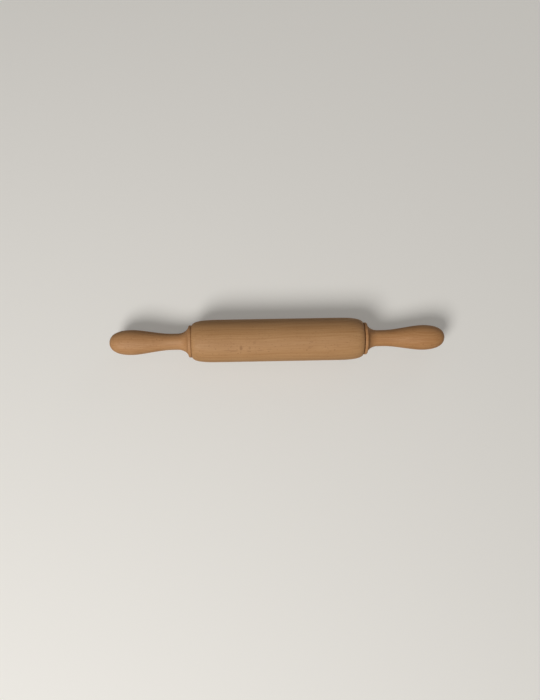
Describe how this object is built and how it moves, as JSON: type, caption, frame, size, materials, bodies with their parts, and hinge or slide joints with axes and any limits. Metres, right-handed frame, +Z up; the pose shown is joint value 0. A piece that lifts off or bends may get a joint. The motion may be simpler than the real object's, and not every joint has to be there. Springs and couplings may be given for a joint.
{
  "type": "rolling pin",
  "caption": "Turned wooden rolling pin: a straight barrel with soft shoulders that spins on ball bearings between two shaped handles on a steel rod.",
  "frame": {"origin": "middle of the rod; the barrel lies 0.25 mm to the left of it, at the left end of its end float", "axes": "+X along the rod towards the right handle, +Z up from the table; the pin is round about X, so Y and Z are alike"},
  "size_m": [0.3946, 0.05, 0.05],
  "materials": {
    "barrel_beech": "fine sanded, oiled",
    "handle_beech": "fine sanded, oiled",
    "rod_steel": "bright drawn",
    "ring_steel": "ground",
    "ball_steel": "polished",
    "cage_nylon": "moulded",
    "shield_steel": "pressed",
    "clip_steel": "blackened spring steel",
    "washer_steel": "zinc plated",
    "insert_brass": "turned"
  },
  "bodies": {
    "rod_and_handles": {"axle_rod": "rod_steel", "right_handle": "handle_beech", "right_handle_insert": "insert_brass", "right_thrust_washer": "washer_steel", "right_spring_clip": "clip_steel", "right_bearing_inner_ring": "ring_steel", "left_handle": "handle_beech", "left_handle_insert": "insert_brass", "left_thrust_washer": "washer_steel", "left_spring_clip": "clip_steel", "left_bearing_inner_ring": "ring_steel"},
    "rolling_barrel": {"barrel": "barrel_beech", "right_bearing_outer_ring": "ring_steel", "right_bearing_outer_shield": "shield_steel", "right_bearing_inner_shield": "shield_steel", "left_bearing_outer_ring": "ring_steel", "left_bearing_outer_shield": "shield_steel", "left_bearing_inner_shield": "shield_steel"},
    "right_cage_and_balls": {"right_bearing_cage": "cage_nylon", "right_bearing_balls": "ball_steel"},
    "left_cage_and_balls": {"left_bearing_cage": "cage_nylon", "left_bearing_balls": "ball_steel"}
  },
  "joints": [
    {"name": "barrel_spin", "type": "hinge", "parent": "rod_and_handles", "child": "rolling_barrel", "pos_m": [0, 0, 0], "axis": [1, 0, 0], "continuous": true},
    {"name": "right_cage_orbit", "type": "hinge", "parent": "rod_and_handles", "child": "right_cage_and_balls", "pos_m": [0.09665, 0, 0], "axis": [1, 0, 0], "continuous": true},
    {"name": "left_cage_orbit", "type": "hinge", "parent": "rod_and_handles", "child": "left_cage_and_balls", "pos_m": [-0.09715, 0, 0], "axis": [1, 0, 0], "continuous": true}
  ],
  "couplings": [
    {"joint": "right_cage_orbit", "follows": "barrel_spin", "ratio": 0.6323},
    {"joint": "left_cage_orbit", "follows": "barrel_spin", "ratio": 0.6323}
  ]
}
